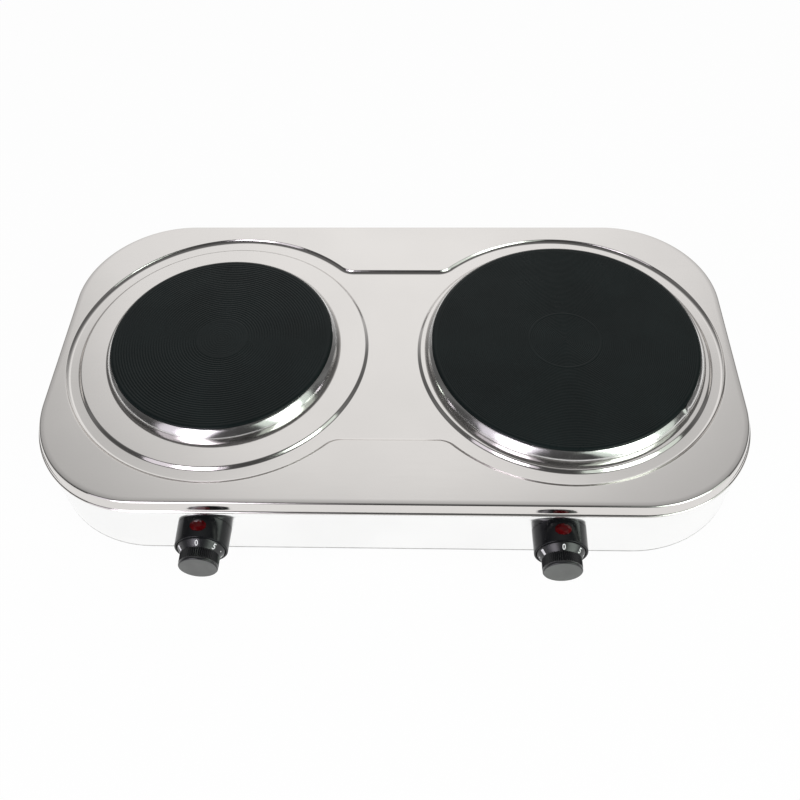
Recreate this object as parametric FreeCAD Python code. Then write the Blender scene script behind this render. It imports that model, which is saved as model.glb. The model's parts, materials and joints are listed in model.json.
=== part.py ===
import FreeCAD, Part
import math
import os

from FreeCAD import Vector

# Double electric hot plate, in millimetres.
# Built about the middle of the body: +X right, +Y back, +Z up, floor at zero.

# Body
body_width = 482.0
body_depth = 261.0
body_corner = 80.5
sheet = 0.8
rim_height = 64.7
lip_drop = 5.8
lip_round = 5.0
wall_inset = 1.2
wall_top = 61.0
base_underside = 10.0
base_thickness = 0.8
base_ledge = 10.0

# Pressed recess and the round platforms in it
burner_spacing = 240.6
recess_radius = 113.0
recess_waist = 78.9
recess_fillet = 15.0
recess_depth = 2.2
recess_slope = 2.8
platform_radius = 99.9
platform_rise = 1.7
platform_slope = 3.6

# Hot plates: radius of the iron face, outer radius of the spill ring, radii of the coil turns
plate_face_radius = {"left": 77.9, "right": 92.7}
ring_outer_radius = {"left": 83.3, "right": 98.0}
coil_turns = {"left": (40.6, 58.0), "right": (40.6, 58.0, 74.0)}
plate_centre_radius = {"left": 17.5, "right": 24.5}
groove_pitch = {"left": 1.86, "right": 1.24}
groove_depth = 0.3
plate_land = 2.6
plate_edge_round = 1.6
plate_top = 75.3
plate_rim_thickness = 5.0
plate_rim_overhang = 3.0
plate_bottom = 60.0
plate_roof = 7.0
plate_wall = 5.0
boss_radius = 13.0
stud_radius = 3.0
tail_x = 7.0
tail_y = -40.0
tail_radius = 1.5
lid_thickness = 0.8
bar_thickness = 2.5
ring_sheet = 0.6
ring_gap = 0.25
ring_bead_width = 1.2
ring_bead_height = 0.8
ring_below_plate = 1.3
ring_ledge_reach = 2.6

# Controls on the front wall
control_x = {"left": -120.0, "right": 110.1}
control_height = 35.2
control_radius = 17.4
control_front_radius = 17.1
control_length = 15.6
control_bore = 15.7
control_web = 2.0
knob_skirt_radius = 15.3
knob_cone_length = 4.4
grip_radius = 12.7
grip_length = 6.4
grip_band = 2.3
grip_ribs = 60
grip_rib_depth = 0.5
shaft_radius = 3.0
running_gap = 0.05
lens_length = 10.6
lens_width = 7.9
lens_sides = 10
lens_seat = 12.0
lamp_lead_height = 8.3
lamp_lead_radius = 0.7
control_screw_x = 11.0
knob_hole_floor = 5.0

# Feet, fasteners and leads
foot_x = 185.0
foot_y = 85.0
foot_radius = 12.0
tie_x = 205.0
tie_y = 92.0
screw_gap = 0.1
lead_radius = 1.5
lead_bend = 10.0
gland_length = 10.0
gland_thread = 6.4
block_height = 16.0
block_screw_x = 16.0
block_y = 88.0
earth_place = Vector(60, 97, 0)

sides = ("left", "right")
burner_x = {"left": -burner_spacing / 2, "right": burner_spacing / 2}
platform_top = rim_height - recess_depth + platform_rise
platform_underside = platform_top - sheet
wall_outer_y = body_depth / 2 - wall_inset
wall_inner_y = wall_outer_y - sheet
lamp_y = -wall_outer_y - control_length * 0.48
control_front_y = -wall_outer_y - control_length
knob_front_y = control_front_y - knob_cone_length - grip_length - grip_band
gland_back_y = wall_outer_y + gland_length
frame_shift = Vector(0, -(knob_front_y + gland_back_y) / 2, 0)
base_top = base_underside + base_thickness
bar_top = plate_bottom - lid_thickness
bar_underside = bar_top - bar_thickness
stud_hole = stud_radius + screw_gap


def rounded_rectangle(width, depth, corner, z):
    """Flat face of a rectangle with round corners, centred on the body."""
    x = width / 2
    y = depth / 2
    bend = corner * (1 - math.sqrt(0.5))
    edges = []
    for turn in range(4):
        across, along = (x, y) if turn % 2 == 0 else (y, x)
        start = Vector(across, -along + corner, z)
        end = Vector(across, along - corner, z)
        middle = Vector(across - bend, along - bend, z)
        finish = Vector(across - corner, along, z)
        side = Part.Wire([Part.LineSegment(start, end).toShape(), Part.Arc(end, middle, finish).toShape()])
        side.rotate(Vector(0, 0, 0), Vector(0, 0, 1), 90 * turn)
        edges.extend(side.Edges)
    return Part.Face(Part.Wire(edges))


def prism(inset, z0, z1):
    """Upright block with the plan of the body drawn in by the inset."""
    width = body_width - 2 * inset
    depth = body_depth - 2 * inset
    face = rounded_rectangle(width, depth, body_corner - inset, z0)
    return face.extrude(Vector(0, 0, z1 - z0))


def dumbbell(inset, z):
    """Plan of the recess: two round lobes joined by a straight waist, drawn in by the inset."""
    lobe = recess_radius - inset
    waist = recess_waist - inset
    fillet = recess_fillet + inset
    centre = burner_spacing / 2
    reach = math.sqrt((lobe + fillet) ** 2 - (waist + fillet) ** 2)
    line_x = centre - reach
    toward = Vector(reach, -(waist + fillet), 0).normalize()
    middle = (toward + Vector(0, -1, 0)).normalize()
    fillet_centre = Vector(line_x, waist + fillet, 0)
    start = Vector(line_x, waist, 0)
    bend = fillet_centre + middle * fillet
    end = fillet_centre + toward * fillet
    far = Vector(centre + lobe, 0, 0)

    def place(point, x_sign, y_sign):
        return Vector(point.x * x_sign, point.y * y_sign, z)

    edges = []
    for x_sign, y_sign in ((1, 1), (-1, -1)):
        edges.append(Part.LineSegment(place(start, -x_sign, y_sign), place(start, x_sign, y_sign)).toShape())
        for first, second, third, flip in ((start, bend, end, 1), (end, far, end, 0), (end, bend, start, -1)):
            from_sign = y_sign if flip >= 0 else -y_sign
            to_sign = y_sign if flip > 0 else -y_sign
            arc = Part.Arc(
                place(first, x_sign, from_sign),
                place(second, x_sign, from_sign),
                place(third, x_sign, to_sign),
            )
            edges.append(arc.toShape())
    return Part.Wire(edges)


def cover_form(inset, drop):
    """Solid under one face of the pressed cover: the rim, the recess and the two platforms."""
    top = rim_height - drop
    floor = top - recess_depth
    skirt = rim_height - lip_drop - inset
    block = prism(inset, skirt, top)
    rim_edges = [edge for edge in block.Edges if edge.BoundBox.ZMin > top - 0.01]
    block = block.makeFillet(lip_round - inset, rim_edges)
    over = 0.5
    upper = dumbbell(-recess_slope * over, top + recess_depth * over)
    lower = dumbbell(recess_slope, floor)
    form = block.cut(Part.makeLoft([lower, upper], True, True))
    for side in sides:
        base = Vector(burner_x[side], 0, floor)
        foot = platform_radius + platform_slope
        form = form.fuse(Part.makeCone(foot, platform_radius, platform_rise, base))
    return form.removeSplitter()


def cylinder(radius, start, end):
    """Round bar between two points."""
    along = end - start
    return Part.makeCylinder(radius, along.Length, start, along)


def box(x0, x1, y0, y1, z0, z1):
    """Block between two corners."""
    return Part.makeBox(x1 - x0, y1 - y0, z1 - z0, Vector(x0, y0, z0))


def turned(start, steps, centre):
    """Ring turned about an upright line: a step is a point, or an arc's middle and end."""
    edges = []
    here = Vector(start[0], 0, start[1])
    for step in list(steps) + [start]:
        points = step if isinstance(step[0], tuple) else (step,)
        ends = [Vector(point[0], 0, point[1]) for point in points]
        if len(ends) == 2:
            edges.append(Part.Arc(here, ends[0], ends[1]).toShape())
        else:
            edges.append(Part.LineSegment(here, ends[0]).toShape())
        here = ends[-1]
    solid = Part.Face(Part.Wire(edges)).revolve(Vector(0, 0, 0), Vector(0, 0, 1), 360)
    solid.translate(centre)
    return solid


def forward(solid, centre):
    """Lay an upright turned piece so that its top points to the front."""
    solid.rotate(Vector(0, 0, 0), Vector(1, 0, 0), 90)
    solid.translate(centre)
    return solid


def polygon_bar(radii, start, length):
    """Upright bar whose section is a polygon with its corners at the given radii in turn."""
    count = len(radii)
    corners = []
    for index, radius in enumerate(radii):
        angle = 2 * math.pi * index / count
        corners.append(Vector(radius * math.cos(angle), radius * math.sin(angle), 0) + start)
    face = Part.Face(Part.makePolygon(corners + corners[:1]))
    return face.extrude(Vector(0, 0, length))


def screw(seat, direction, head_radius, head_height, shank_radius, shank_length):
    """Cylinder-head screw: the head stands on the seat and the shank runs the other way."""
    head = cylinder(head_radius, seat, seat + direction * head_height)
    shank = cylinder(shank_radius, seat, seat - direction * shank_length)
    return head.fuse(shank).removeSplitter()


def lead(points):
    """Insulated wire along straight runs joined by tangent arcs."""
    edges = []
    here = points[0]
    for before, corner, after in zip(points, points[1:], points[2:]):
        arriving = (corner - before).normalize()
        leaving = (after - corner).normalize()
        enter = corner - arriving * lead_bend
        leave = corner + leaving * lead_bend
        middle = corner + (leaving - arriving) * (lead_bend * (1 - math.sqrt(0.5)))
        edges.append(Part.LineSegment(here, enter).toShape())
        edges.append(Part.Arc(enter, middle, leave).toShape())
        here = leave
    edges.append(Part.LineSegment(here, points[-1]).toShape())
    section = Part.Wire(Part.Circle(points[0], points[1] - points[0], lead_radius).toShape())
    return Part.Wire(edges).makePipeShell([section], True, False)


def corners_of(x, y):
    """The four mirrored places of one point of the plan."""
    return [Vector(x * a, y * b, 0) for a in (-1, 1) for b in (-1, 1)]


def make_top_cover():
    """Pressed stainless sheet with a turned-down lip and an opening under each hot plate."""
    cover = cover_form(0, 0).cut(cover_form(sheet, sheet))
    for side in sides:
        start = Vector(burner_x[side], 0, base_top)
        cover = cover.cut(Part.makeCylinder(plate_face_radius[side] + 1.0, plate_top, start))
    return cover


def control_holes(x, y0, y1, gap):
    """Shaft, screw and lamp lead passages of one control, through a wall from y0 to y1."""
    z = control_height
    screw_x = control_screw_x
    places = [(0, 0, 4.0), (-screw_x, 0, 2.0), (screw_x, 0, 2.0), (0, lamp_lead_height, lamp_lead_radius)]
    tools = []
    for dx, dz, radius in places:
        tools.append(cylinder(radius + gap, Vector(x + dx, y0, z + dz), Vector(x + dx, y1, z + dz)))
    return tools


def make_lower_housing():
    """Upright steel wall with an inward ledge at its foot."""
    wall = prism(wall_inset, base_top, wall_top)
    wall = wall.cut(prism(wall_inset + sheet, base_top + sheet, wall_top + 1))
    wall = wall.cut(prism(wall_inset + base_ledge, base_top - 1, base_top + 2 * sheet))
    for side in sides:
        for tool in control_holes(control_x[side], -wall_outer_y - 1, -wall_inner_y + 1, 0.4):
            wall = wall.cut(tool)
    gland_start = Vector(0, wall_inner_y - 1, control_height)
    return wall.cut(cylinder(gland_thread + 0.2, gland_start, gland_start + Vector(0, 4, 0)))


def make_base_plate():
    """Bottom sheet with rows of air slots under the hot plates."""
    plate = prism(wall_inset, base_underside, base_top)
    holes = [(place, 2.0) for place in corners_of(foot_x, foot_y)]
    holes += [(place, 2.5) for place in corners_of(tie_x, tie_y)]
    holes += [(Vector(x, block_y, 0), 1.5) for x in (-block_screw_x, block_screw_x)]
    holes += [(earth_place, 2.0)]
    for place, radius in holes:
        plate = plate.cut(Part.makeCylinder(radius + screw_gap, 20, place))
    slot_reach = 30.0
    slot_radius = 2.5
    slot_pitch = 14.0
    for side in sides:
        for row in range(-3, 4):
            x = burner_x[side]
            y = row * slot_pitch
            slot = box(x - slot_reach, x + slot_reach, y - slot_radius, y + slot_radius, 0, 20)
            for end in (-slot_reach, slot_reach):
                slot = slot.fuse(Part.makeCylinder(slot_radius, 20, Vector(x + end, y, 0)))
            plate = plate.cut(slot)
    return plate


def make_foot(place):
    """Rubber foot with a counterbore for its screw."""
    hole = 2.0 + screw_gap
    top = base_underside
    steps = [(foot_radius - 2, 0), (foot_radius, top), (hole, top), (hole, 4), (4.6, 4)]
    return turned((4.6, 0), steps, place)


def make_hot_plate(side):
    """Cast-iron disc with a rounded rim, fine grooves around a plain centre, a hollow back and a boss."""
    face = plate_face_radius[side]
    pitch = groove_pitch[side]
    under = plate_top - plate_rim_thickness
    cavity = plate_top - plate_roof
    steps = [(plate_centre_radius[side], plate_top - groove_depth)]
    groove = plate_centre_radius[side]
    while groove + pitch < face - plate_land:
        steps += [(groove + pitch * 0.5, plate_top), (groove + pitch, plate_top - groove_depth)]
        groove += pitch
    brow = plate_edge_round * (1 - math.sqrt(0.5))
    steps += [(face - plate_land, plate_top), (face - plate_edge_round, plate_top)]
    steps += [((face - brow, plate_top - brow), (face, plate_top - plate_edge_round))]
    outside = face - plate_rim_overhang
    inside = outside - plate_wall
    steps += [(face, under), (outside, under), (outside, plate_bottom)]
    steps += [(inside, plate_bottom), (inside, cavity)]
    steps += [(boss_radius, cavity), (boss_radius, plate_bottom), (stud_hole, plate_bottom)]
    steps += [(stud_hole, cavity), (0, cavity)]
    return turned((0, plate_top - groove_depth), steps, Vector(burner_x[side], 0, 0))


def make_spill_ring(side):
    """Stainless ring: a round bead beside the iron, a skirt bowed like a quarter oval and a ledge."""
    t = ring_sheet
    inner = plate_face_radius[side] + ring_gap
    tip = plate_face_radius[side] - ring_ledge_reach
    ledge = plate_top - plate_rim_thickness
    crest = plate_face_radius[side] + ring_bead_width
    crest_height = plate_top - ring_below_plate
    shoulder = crest_height - ring_bead_height
    bow = math.sqrt(0.5)

    def skirt(degrees, inset):
        across = ring_outer_radius[side] - crest - inset
        upward = crest_height - platform_top - inset
        turn = math.radians(degrees)
        return (crest + across * math.sin(turn), platform_top + upward * math.cos(turn))

    steps = [
        (inner, ledge),
        (inner, shoulder),
        ((crest - (crest - inner) * bow, shoulder + ring_bead_height * bow), skirt(0, 0)),
        (skirt(30, 0), skirt(58, 0)),
        (skirt(76, 0), skirt(90, 0)),
        skirt(90, t),
        (skirt(76, t), skirt(58, t)),
        (skirt(30, t), skirt(0, t)),
        (inner + t, shoulder - 0.1),
        (inner + t, ledge - t),
        (tip, ledge - t),
    ]
    return turned((tip, ledge), steps, Vector(burner_x[side], 0, 0))


def coil_shape(side, growth):
    """Flat turns joined by a radial link, with two straight tails; growth leaves room around them."""
    centre = Vector(burner_x[side], 0, 0)
    low = plate_bottom + 2.0 - growth
    height = 4.0 + 2 * growth
    half = 3.0 + growth
    turns = coil_turns[side]
    coil = box(-half, half, turns[0], turns[-1], low, low + height)
    for radius in turns:
        turn = Part.makeCylinder(radius + half, height, Vector(0, 0, low))
        coil = coil.fuse(turn.cut(Part.makeCylinder(radius - half, height, Vector(0, 0, low))))
    for x in (-tail_x, tail_x):
        top = Vector(x, tail_y, low + height / 2)
        coil = coil.fuse(cylinder(tail_radius + growth, Vector(x, tail_y, 44), top))
    coil.translate(centre)
    return coil.removeSplitter()


def make_coil_insulation(side):
    """Mineral filling of the hollow back, moulded around the coil."""
    outer = plate_face_radius[side] - plate_rim_overhang - plate_wall - 0.2
    inner = boss_radius + 0.2
    top = plate_top - plate_roof
    ring = [(outer, plate_bottom), (outer, top), (inner, top)]
    filling = turned((inner, plate_bottom), ring, Vector(burner_x[side], 0, 0))
    return filling.cut(coil_shape(side, 0.1))


def make_plate_cover(side):
    """Thin steel lid of the hollow back."""
    centre = Vector(burner_x[side], 0, bar_top)
    lid = Part.makeCylinder(plate_face_radius[side] - plate_rim_overhang - 1, lid_thickness, centre)
    lid = lid.cut(Part.makeCylinder(stud_hole, lid_thickness, centre))
    for x in (-tail_x, tail_x):
        lid = lid.cut(Part.makeCylinder(tail_radius + 1, lid_thickness, centre + Vector(x, tail_y, 0)))
    return lid


def make_clamp_bar(side):
    """Steel bridge that bears up under the platform on both sides of the opening."""
    x = burner_x[side]
    leg = plate_face_radius[side] + 2.0
    outside = leg + bar_thickness
    reach = leg + 3.6
    half = 9.0
    foot_underside = platform_underside - bar_thickness
    bar = box(x - outside, x + outside, -half, half, bar_underside, bar_top)
    for sign in (-1, 1):
        x0, x1 = sorted((x + sign * leg, x + sign * outside))
        bar = bar.fuse(box(x0, x1, -half, half, bar_underside, platform_underside))
        x0, x1 = sorted((x + sign * leg, x + sign * reach))
        bar = bar.fuse(box(x0, x1, -half, half, foot_underside, platform_underside))
    hole = cylinder(stud_hole, Vector(x, 0, base_top), Vector(x, 0, plate_top))
    return bar.cut(hole).removeSplitter()


def make_plate_terminal(side):
    """Ceramic block around the two coil tails."""
    x = burner_x[side]
    front = tail_y - tail_x
    back = tail_y + tail_x
    block = box(x - 2 * tail_x, x + 2 * tail_x, front, back, bar_top - 14, bar_top)
    for dx in (-tail_x, tail_x):
        start = Vector(x + dx, tail_y, base_top)
        block = block.cut(cylinder(tail_radius + 0.3, start, Vector(x + dx, tail_y, plate_top)))
    return block


def make_thermal_cutout(side):
    """Small safety cutout fixed under the clamp bar."""
    x = burner_x[side] + 35
    body = box(x - 8, x + 8, -5, 5, bar_underside - 6, bar_underside)
    lower_edges = [edge for edge in body.Edges if edge.BoundBox.ZMax < bar_underside - 0.01]
    return body.makeFillet(1.0, lower_edges)


def make_control_housing(side):
    """Black round shell on the front wall, open at the front, with a seat for the lamp lens."""
    x = control_x[side]
    steps = [
        (control_radius, 0),
        (control_front_radius, control_length - 0.5),
        (control_front_radius - 0.5, control_length),
        (control_bore, control_length),
        (control_bore, control_web),
        (0, control_web),
    ]
    shell = turned((0, 0), steps, Vector(0, 0, 0))
    shell = forward(shell, Vector(x, -wall_outer_y, control_height))
    for tool in control_holes(x, -wall_outer_y - control_web - 1, -wall_outer_y + 1, screw_gap):
        shell = shell.cut(tool)
    seat = control_height + lens_seat
    return shell.cut(lens_prism(side, running_gap, seat - 1, seat + control_radius))


def lens_outline(side, scale, growth, z):
    """Ten-sided oval of the lamp lens at one height."""
    corners = []
    for index in range(lens_sides + 1):
        angle = 2 * math.pi * (index + 0.5) / lens_sides
        across = (lens_length / 2 * scale + growth) * math.cos(angle)
        along = (lens_width / 2 * scale + growth) * math.sin(angle)
        corners.append(Vector(control_x[side] + across, lamp_y + along, z))
    return Part.makePolygon(corners)


def lens_prism(side, growth, z0, z1):
    """Upright stem of the lens, or the hole for it when grown."""
    return Part.Face(lens_outline(side, 1.0, growth, z0)).extrude(Vector(0, 0, z1 - z0))


def make_lamp_lens(side):
    """Clear red lens with sloping facets, pushed into the top of the housing."""
    seat = control_height + control_radius
    stem = lens_prism(side, 0, control_height + lens_seat, seat)
    outlines = [lens_outline(side, 1.0, 0, seat), lens_outline(side, 0.5, 0, seat + 1.0)]
    return stem.fuse(Part.makeLoft(outlines, True, True))


def make_neon_lamp(side):
    """Glow lamp standing under the lens."""
    top = control_height + lens_seat
    steps = [(2.6, top), (2.6, top - 5.0), (1.4, top - 6.9), (0, top - 6.9)]
    return turned((0, top), steps, Vector(control_x[side], lamp_y, 0))


def make_lamp_lead(side):
    """Insulated wire from the lamp back to the thermostat."""
    x = control_x[side]
    z = control_height + lamp_lead_height
    return cylinder(lamp_lead_radius, Vector(x, lamp_y + 2.65, z), Vector(x, -wall_inner_y, z))


def make_control_knob(side):
    """Turning knob: dial cone, ribbed grip and a smooth front band, with a blind hole for the shaft."""
    band = grip_length + knob_cone_length
    front = band + grip_band
    hole = shaft_radius + 0.02
    edge = grip_radius - 0.1
    steps = [
        (knob_skirt_radius, -3.4),
        (knob_skirt_radius, 0),
        (grip_radius - grip_rib_depth, knob_cone_length),
        (grip_radius - grip_rib_depth, band),
        (edge - 0.3, band),
        (edge, band + 0.3),
        (edge, front - 0.9),
        ((edge - 0.26, front - 0.26), (edge - 0.9, front)),
        (0, front),
        (0, front - knob_hole_floor),
        (hole, front - knob_hole_floor),
    ]
    knob = turned((hole, -3.4), steps, Vector(0, 0, 0))
    radii = [grip_radius, grip_radius - grip_rib_depth] * grip_ribs
    ribs = polygon_bar(radii, Vector(0, 0, knob_cone_length), grip_length)
    core = Part.makeCylinder(grip_radius - 2, grip_length, Vector(0, 0, knob_cone_length))
    knob = knob.fuse(ribs.cut(core)).removeSplitter()
    return forward(knob, Vector(control_x[side], control_front_y, control_height))


def make_thermostat_shaft(side):
    """Spindle from the thermostat into the knob."""
    x = control_x[side]
    tip = Vector(x, knob_front_y + knob_hole_floor, control_height)
    return cylinder(shaft_radius, tip, Vector(x, -wall_inner_y + 16, control_height))


def make_thermostat(side):
    """Mounting plate and ceramic body with a bearing for the spindle."""
    x = control_x[side]
    z = control_height
    front = -wall_inner_y
    plate = box(x - 16, x + 16, front, front + 1.5, z - 15, z + 15)
    body = plate.fuse(box(x - 14, x + 14, front + 1.5, front + 28, z - 15, z + 15))
    body = body.cut(cylinder(shaft_radius + running_gap, Vector(x, front - 1, z), Vector(x, front + 16, z)))
    for dx in (-control_screw_x, control_screw_x):
        body = body.cut(cylinder(2 + screw_gap, Vector(x + dx, front - 1, z), Vector(x + dx, front + 8, z)))
    return body.removeSplitter()


def make_cord_gland():
    """Bushing in the rear wall with a collar outside and an open bore."""
    steps = [
        (gland_thread, -9),
        (gland_thread, 0),
        (10, 0),
        (10, 3),
        (7.5, 4),
        (6.5, gland_length),
        (4, gland_length),
    ]
    bushing = turned((4, -9), steps, Vector(0, 0, 0))
    bushing.rotate(Vector(0, 0, 0), Vector(1, 0, 0), -90)
    bushing.translate(Vector(0, wall_outer_y, control_height))
    return bushing


def make_gland_nut():
    """Hexagon nut that holds the bushing from inside."""
    nut = polygon_bar([11.0] * 6, Vector(0, 0, 0), 5).cut(Part.makeCylinder(gland_thread + running_gap, 5))
    return forward(nut, Vector(0, wall_inner_y, control_height))


def make_terminal_block():
    """Mains terminal block with three wire openings towards the rear."""
    block = box(-20, 20, block_y - 9, block_y + 9, base_top, base_top + block_height)
    for x in (-10, 0, 10):
        opening = Vector(x, block_y + 2, base_top + 9)
        block = block.cut(cylinder(2.0, opening, opening + Vector(0, 8, 0)))
    for x in (-block_screw_x, block_screw_x):
        block = block.cut(Part.makeCylinder(1.5 + screw_gap, 30, Vector(x, block_y, base_top)))
    return block


def make_clamp_hardware():
    """Studs, washers and nuts that pull the hot plates down, as groups."""
    studs = []
    washers = []
    nuts = []
    washer_thickness = 1.5
    nut_height = 5.0
    washer_underside = bar_underside - washer_thickness
    for side in sides:
        centre = Vector(burner_x[side], 0, 0)
        up = Vector(0, 0, 1)
        bore = cylinder(stud_hole, centre, centre + up * plate_top)
        studs.append(cylinder(stud_radius, centre + up * 46, centre + up * (plate_top - plate_roof)))
        washers.append(cylinder(6.5, centre + up * washer_underside, centre + up * bar_underside).cut(bore))
        nut = polygon_bar([5.77] * 6, centre + up * (washer_underside - nut_height), nut_height)
        nuts.append(nut.cut(bore))
    return {
        "clamp_studs": Part.makeCompound(studs),
        "clamp_washers": Part.makeCompound(washers),
        "clamp_nuts": Part.makeCompound(nuts),
    }


def make_base_hardware():
    """Foot screws, cover studs with their nuts, block screws and the earth screw."""
    down = Vector(0, 0, -1)
    up = Vector(0, 0, 1)
    foot_screws = []
    for place in corners_of(foot_x, foot_y):
        foot_screws.append(screw(place + up * 4, down, 4.0, 2.4, 2.0, 12))
    studs = []
    nuts = []
    for place in corners_of(tie_x, tie_y):
        studs.append(cylinder(2.5, place + up * 5.5, place + up * (rim_height - sheet)))
        nut = polygon_bar([4.62] * 6, place + up * (base_underside - 4), 4)
        nuts.append(nut.cut(Part.makeCylinder(2.5 + screw_gap, 20, place)))
    block_screws = []
    for x in (-block_screw_x, block_screw_x):
        block_screws.append(screw(Vector(x, block_y, base_top + block_height), up, 2.9, 2.0, 1.5, 18))
    return {
        "foot_screws": Part.makeCompound(foot_screws),
        "cover_studs": Part.makeCompound(studs),
        "cover_stud_nuts": Part.makeCompound(nuts),
        "terminal_block_screws": Part.makeCompound(block_screws),
        "earth_screw": screw(earth_place + up * base_top, up, 4.0, 3.0, 2.0, 4),
    }


def make_control_screws():
    """Four screws that clamp the control housings and thermostats to the front wall."""
    screws = []
    for side in sides:
        for dx in (-control_screw_x, control_screw_x):
            seat = Vector(control_x[side] + dx, -wall_outer_y - control_web, control_height)
            screws.append(screw(seat, Vector(0, -1, 0), 3.2, 2.2, 2.0, 9))
    return Part.makeCompound(screws)


def make_leads(side):
    """Feed, load and return wires of one burner."""
    sign = 1 if side == "right" else -1
    rear = -wall_inner_y + 28
    low = 23.0
    high = 47.0
    feed_x = control_x[side] - 8
    feed = [
        Vector(10 * sign, block_y - 9, low),
        Vector(10 * sign, 30, low),
        Vector(feed_x, 30, low),
        Vector(feed_x, rear, low),
    ]
    load_x = burner_x[side] - 4
    load = cylinder(lead_radius, Vector(load_x, rear, high), Vector(load_x, tail_y - tail_x, high))
    return_x = burner_x[side] + 11
    back = [
        Vector(return_x, tail_y + tail_x, high),
        Vector(return_x, block_y, high),
        Vector(return_x, block_y, 19),
        Vector(20 * sign, block_y, 19),
    ]
    return {
        "feed_lead_" + side: lead(feed),
        "load_lead_" + side: load,
        "return_lead_" + side: lead(back),
    }


def make_parts():
    """Every piece of the hot plate by name."""
    parts = {
        "top_cover": make_top_cover(),
        "lower_housing": make_lower_housing(),
        "base_plate": make_base_plate(),
        "cord_gland": make_cord_gland(),
        "gland_nut": make_gland_nut(),
        "terminal_block": make_terminal_block(),
        "control_screws": make_control_screws(),
    }
    for place in corners_of(foot_x, foot_y):
        row = "front" if place.y < 0 else "rear"
        side = "left" if place.x < 0 else "right"
        parts["foot_" + row + "_" + side] = make_foot(place)
    parts.update(make_base_hardware())
    parts.update(make_clamp_hardware())
    makers = {
        "hot_plate": make_hot_plate,
        "spill_ring": make_spill_ring,
        "heating_coil": lambda side: coil_shape(side, 0),
        "coil_insulation": make_coil_insulation,
        "plate_cover": make_plate_cover,
        "clamp_bar": make_clamp_bar,
        "plate_terminal": make_plate_terminal,
        "thermal_cutout": make_thermal_cutout,
        "control_housing": make_control_housing,
        "control_knob": make_control_knob,
        "thermostat": make_thermostat,
        "thermostat_shaft": make_thermostat_shaft,
        "lamp_lens": make_lamp_lens,
        "neon_lamp": make_neon_lamp,
        "lamp_lead": make_lamp_lead,
    }
    for side in sides:
        for name, maker in makers.items():
            parts[name + "_" + side] = maker(side)
        parts.update(make_leads(side))
    return parts


os.makedirs("parts", exist_ok=True)
for name, shape in make_parts().items():
    shape.translate(frame_shift)
    shape.exportStep("parts/" + name + ".step")
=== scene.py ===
import json
import math
from types import SimpleNamespace

import bmesh
import bpy
import numpy as np
from mathutils import Matrix, Vector


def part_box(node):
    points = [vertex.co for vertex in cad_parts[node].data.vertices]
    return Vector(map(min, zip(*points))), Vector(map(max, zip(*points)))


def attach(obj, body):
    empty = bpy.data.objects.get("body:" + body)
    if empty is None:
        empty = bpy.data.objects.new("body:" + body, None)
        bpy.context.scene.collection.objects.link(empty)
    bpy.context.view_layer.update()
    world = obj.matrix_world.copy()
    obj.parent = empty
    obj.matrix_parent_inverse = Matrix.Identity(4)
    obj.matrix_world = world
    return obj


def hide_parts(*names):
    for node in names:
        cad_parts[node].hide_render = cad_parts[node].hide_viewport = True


bl_info = {
    "name": "Double Hot Plate",
    "version": (1, 0, 0),
    "blender": (4, 5, 0),
    "location": "View3D > Sidebar > Hot Plate",
    "description": "Surfaces and finishes of a double electric hot plate",
    "category": "Object",
}

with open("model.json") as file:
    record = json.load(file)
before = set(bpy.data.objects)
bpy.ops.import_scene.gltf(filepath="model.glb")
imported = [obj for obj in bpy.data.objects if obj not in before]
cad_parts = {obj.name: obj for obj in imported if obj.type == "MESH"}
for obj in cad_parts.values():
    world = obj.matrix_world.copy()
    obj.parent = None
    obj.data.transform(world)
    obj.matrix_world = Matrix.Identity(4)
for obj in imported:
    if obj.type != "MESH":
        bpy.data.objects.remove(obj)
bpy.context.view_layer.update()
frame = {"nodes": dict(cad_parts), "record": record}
sides = ("left", "right")
mm = 0.001

cover_low, cover_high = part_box("top_cover")
wall_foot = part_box("lower_housing")[0].z
plate_box = {side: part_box("hot_plate_" + side) for side in sides}
ring_box = {side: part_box("spill_ring_" + side) for side in sides}
shell_box = {side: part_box("control_housing_" + side) for side in sides}
knob_box = {side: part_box("control_knob_" + side) for side in sides}
lens_box = {side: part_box("lamp_lens_" + side) for side in sides}

# Heights of the iron faces over the rim of the cover and over their seats in the rings
plate_rise = 10.6 * mm
plate_side = 5 * mm


def middle(box):
    """Middle point of a box."""
    return (box[0] + box[1]) / 2


def half_width(box):
    """Half of a box's size along X."""
    return (box[1].x - box[0].x) / 2


def length(name, description, default):
    """A size in metres that a user may change."""
    return bpy.props.FloatProperty(
        name=name, description=description, default=default, min=0, precision=4, unit="LENGTH"
    )


def offset(name, description, default):
    """A distance in metres to either side that a user may change."""
    return bpy.props.FloatProperty(
        name=name, description=description, default=default, precision=4, unit="LENGTH"
    )


def angle(name, description, default):
    """An angle that a user may change."""
    return bpy.props.FloatProperty(name=name, description=description, default=default, unit="ROTATION")


def amount(name, description, default):
    """A plain number that a user may change."""
    return bpy.props.FloatProperty(name=name, description=description, default=default, min=0)


def colour(name, description, default):
    """A colour that a user may change."""
    return bpy.props.FloatVectorProperty(
        name=name, description=description, default=default, size=3, min=0, max=1, subtype="COLOR"
    )


# Sizes and colours

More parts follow.
